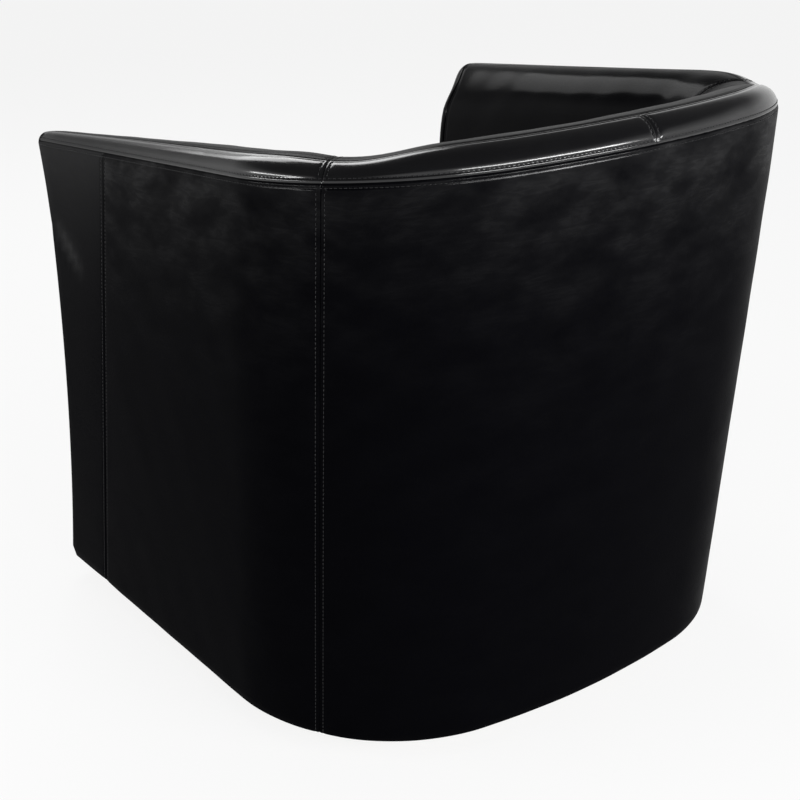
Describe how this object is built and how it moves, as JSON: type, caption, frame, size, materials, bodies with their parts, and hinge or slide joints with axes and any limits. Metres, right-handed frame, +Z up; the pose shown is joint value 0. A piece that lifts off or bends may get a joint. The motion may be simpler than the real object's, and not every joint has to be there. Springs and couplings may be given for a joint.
{
  "type": "swivel club chair",
  "caption": "Low tub-shaped swivel armchair: padded leather wall with a rolled rim sweeping round a loose-look seat cushion, turning on a hidden plate over a round base.",
  "frame": {"origin": "on the floor, where the swivel axis meets it, under the middle of the chair's bounding box", "axes": "+Z up along the swivel axis; the sitter faces -Y; +X is the sitter's left"},
  "size_m": [0.686, 0.7146, 0.7128],
  "materials": {
    "black_leather": "semi-gloss bonded leather with a fine grain",
    "foam": "open-cell upholstery foam",
    "fibreboard": "plain hardboard",
    "plywood": "sawn plywood",
    "webbing": "woven elastic webbing",
    "black_cloth": "thin non-woven cloth",
    "black_wood": "black lacquer on plywood",
    "black_plastic": "moulded, matte",
    "nylon": "moulded nylon",
    "polished_steel": "polished bearing steel",
    "zinc_steel": "zinc plated"
  },
  "bodies": {
    "base": {"base_disc": "black_wood", "floor_glides": "black_plastic", "swivel_plate_lower": "zinc_steel", "pivot": "zinc_steel", "pivot_washer": "zinc_steel", "lower_plate_bolts": "zinc_steel", "lower_tee_nuts": "zinc_steel"},
    "ball_cage": {"ball_cage": "nylon", "bearing_balls": "polished_steel"},
    "chair": {"apron_board": "fibreboard", "apron_cover": "black_leather", "apron_foam": "foam", "cap_cover_back_left": "black_leather", "cap_cover_back_right": "black_leather", "cap_cover_left": "black_leather", "cap_cover_right": "black_leather", "corner_blocks": "plywood", "cushion_cover": "black_leather", "cushion_foam": "foam", "deck_board": "plywood", "dust_cover": "black_cloth", "facing_cover_left": "black_leather", "facing_cover_right": "black_leather", "facing_foam_left": "foam", "facing_foam_right": "foam", "foot_rail_front": "plywood", "foot_rail_ring": "plywood", "inner_board": "fibreboard", "inner_cover_back": "black_leather", "inner_cover_left": "black_leather", "inner_cover_right": "black_leather", "outer_board": "fibreboard", "outer_cover_back": "black_leather", "outer_cover_left": "black_leather", "outer_cover_right": "black_leather", "pivot_bush": "nylon", "rib_arm_left": "plywood", "rib_arm_right": "plywood", "rib_back_left": "plywood", "rib_back_right": "plywood", "rib_corner_left": "plywood", "rib_corner_right": "plywood", "rib_front_left": "plywood", "rib_front_right": "plywood", "rim_foam_roll": "foam", "seat_rail_back": "plywood", "seat_rail_front": "plywood", "seat_rail_left": "plywood", "seat_rail_right": "plywood", "strap_rail": "plywood", "straps_crosswise": "webbing", "straps_lengthwise": "webbing", "swivel_plate_upper": "zinc_steel", "top_rail": "plywood", "upper_plate_bolts": "zinc_steel", "upper_tee_nuts": "zinc_steel", "wall_foam_back": "foam", "wall_foam_left": "foam", "wall_foam_right": "foam"}
  },
  "joints": [
    {"name": "seat_swivel", "type": "hinge", "parent": "base", "child": "chair", "pos_m": [0, 0, 0.0337], "axis": [0, 0, 1], "continuous": true},
    {"name": "cage_roll", "type": "hinge", "parent": "base", "child": "ball_cage", "pos_m": [0, 0, 0.0337], "axis": [0, 0, 1], "continuous": true}
  ],
  "couplings": [
    {"joint": "cage_roll", "follows": "seat_swivel", "ratio": 0.5}
  ]
}
